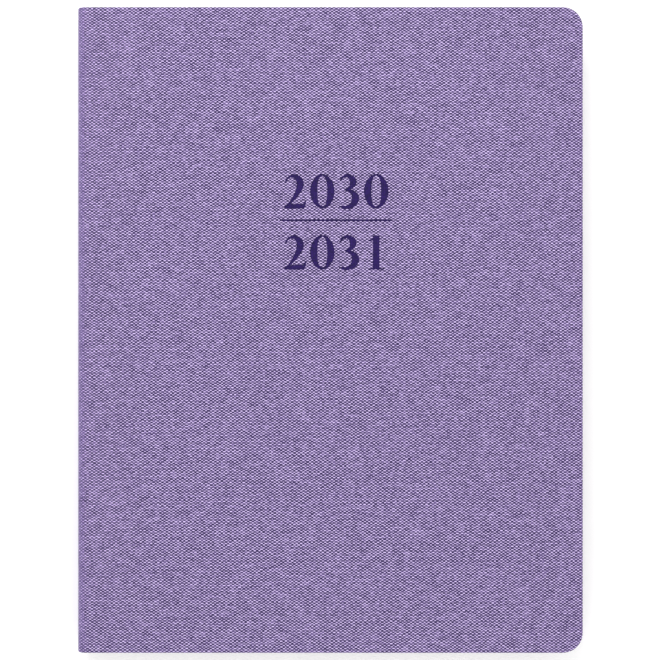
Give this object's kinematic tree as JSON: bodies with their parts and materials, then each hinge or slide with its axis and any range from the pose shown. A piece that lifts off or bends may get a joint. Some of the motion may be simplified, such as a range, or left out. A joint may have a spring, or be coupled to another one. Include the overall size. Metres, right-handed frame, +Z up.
{
  "type": "bound planner",
  "caption": "Case-bound planner with a textured cloth cover, sewn paper sections, endpapers, end bands and a flexible spine; opens at any section.",
  "frame": {"origin": "centre of the face that the closed planner lies on, at the back cover's outer face", "axes": "+X from the spine to the fore edge, +Y from the tail to the head, +Z up out of the front cover"},
  "size_m": [0.184, 0.235, 0.0164],
  "materials": {
    "cover_cloth": "linen-textured book cloth, lavender, satin",
    "cover_foil": "dark purple pressed foil, satin",
    "greyboard": "uncoated grey board",
    "endpaper": "uncoated heavy endpaper",
    "page_paper": "uncoated writing paper",
    "gauze": "open-weave starched cotton",
    "band_cloth": "woven two-colour band",
    "sewing_thread": "waxed cotton thread"
  },
  "bodies": {
    "back_cover": {"back_cover_skin": "cover_cloth", "back_board": "greyboard", "back_pastedown": "endpaper", "spine_skin": "cover_cloth", "spine_liner": "greyboard", "mull": "gauze", "head_band": "band_cloth", "tail_band": "band_cloth"},
    "back_flyleaf": {"back_flyleaf": "endpaper"},
    "section_10": {"signature_10": "page_paper", "thread_10": "sewing_thread"},
    "section_09": {"signature_09": "page_paper", "thread_09": "sewing_thread"},
    "section_08": {"signature_08": "page_paper", "thread_08": "sewing_thread"},
    "section_07": {"signature_07": "page_paper", "thread_07": "sewing_thread"},
    "section_06": {"signature_06": "page_paper", "thread_06": "sewing_thread"},
    "section_05": {"signature_05": "page_paper", "thread_05": "sewing_thread"},
    "section_04": {"signature_04": "page_paper", "thread_04": "sewing_thread"},
    "section_03": {"signature_03": "page_paper", "thread_03": "sewing_thread"},
    "section_02": {"signature_02": "page_paper", "thread_02": "sewing_thread"},
    "section_01": {"signature_01": "page_paper", "thread_01": "sewing_thread"},
    "front_flyleaf": {"front_flyleaf": "endpaper"},
    "front_cover": {"front_cover_skin": "cover_cloth", "front_board": "greyboard", "front_pastedown": "endpaper"}
  },
  "joints": [
    {"name": "back_cover_turn", "type": "hinge", "parent": "back_cover", "child": "back_flyleaf", "pos_m": [-0.092, 0, 0.0082], "axis": [0, -1, 0], "range_deg": [0, 179.98], "deforming": ["spine_skin", "spine_liner", "mull", "head_band", "tail_band"]},
    {"name": "back_flyleaf_turn", "type": "hinge", "parent": "back_flyleaf", "child": "section_10", "pos_m": [-0.092, 0, 0.0082], "axis": [0, -1, 0], "range_deg": [0, 179.98], "deforming": ["spine_skin", "spine_liner", "mull", "head_band", "tail_band"]},
    {"name": "section_09_turn", "type": "hinge", "parent": "section_10", "child": "section_09", "pos_m": [-0.092, 0, 0.0082], "axis": [0, -1, 0], "range_deg": [0, 179.98], "deforming": ["spine_skin", "spine_liner", "mull", "head_band", "tail_band"]},
    {"name": "section_08_turn", "type": "hinge", "parent": "section_09", "child": "section_08", "pos_m": [-0.092, 0, 0.0082], "axis": [0, -1, 0], "range_deg": [0, 179.98], "deforming": ["spine_skin", "spine_liner", "mull", "head_band", "tail_band"]},
    {"name": "section_07_turn", "type": "hinge", "parent": "section_08", "child": "section_07", "pos_m": [-0.092, 0, 0.0082], "axis": [0, -1, 0], "range_deg": [0, 179.98], "deforming": ["spine_skin", "spine_liner", "mull", "head_band", "tail_band"]},
    {"name": "section_06_turn", "type": "hinge", "parent": "section_07", "child": "section_06", "pos_m": [-0.092, 0, 0.0082], "axis": [0, -1, 0], "range_deg": [0, 179.98], "deforming": ["spine_skin", "spine_liner", "mull", "head_band", "tail_band"]},
    {"name": "section_05_turn", "type": "hinge", "parent": "section_06", "child": "section_05", "pos_m": [-0.092, 0, 0.0082], "axis": [0, -1, 0], "range_deg": [0, 179.98], "deforming": ["spine_skin", "spine_liner", "mull", "head_band", "tail_band"]},
    {"name": "section_04_turn", "type": "hinge", "parent": "section_05", "child": "section_04", "pos_m": [-0.092, 0, 0.0082], "axis": [0, -1, 0], "range_deg": [0, 179.98], "deforming": ["spine_skin", "spine_liner", "mull", "head_band", "tail_band"]},
    {"name": "section_03_turn", "type": "hinge", "parent": "section_04", "child": "section_03", "pos_m": [-0.092, 0, 0.0082], "axis": [0, -1, 0], "range_deg": [0, 179.98], "deforming": ["spine_skin", "spine_liner", "mull", "head_band", "tail_band"]},
    {"name": "section_02_turn", "type": "hinge", "parent": "section_03", "child": "section_02", "pos_m": [-0.092, 0, 0.0082], "axis": [0, -1, 0], "range_deg": [0, 179.98], "deforming": ["spine_skin", "spine_liner", "mull", "head_band", "tail_band"]},
    {"name": "section_01_turn", "type": "hinge", "parent": "section_02", "child": "section_01", "pos_m": [-0.092, 0, 0.0082], "axis": [0, -1, 0], "range_deg": [0, 179.98], "deforming": ["spine_skin", "spine_liner", "mull", "head_band", "tail_band"]},
    {"name": "front_flyleaf_turn", "type": "hinge", "parent": "section_01", "child": "front_flyleaf", "pos_m": [-0.092, 0, 0.0082], "axis": [0, -1, 0], "range_deg": [0, 179.98], "deforming": ["spine_skin", "spine_liner", "mull", "head_band", "tail_band"]},
    {"name": "front_cover_turn", "type": "hinge", "parent": "front_flyleaf", "child": "front_cover", "pos_m": [-0.092, 0, 0.0082], "axis": [0, -1, 0], "range_deg": [0, 179.98], "deforming": ["spine_skin", "spine_liner", "mull", "head_band", "tail_band"]}
  ]
}
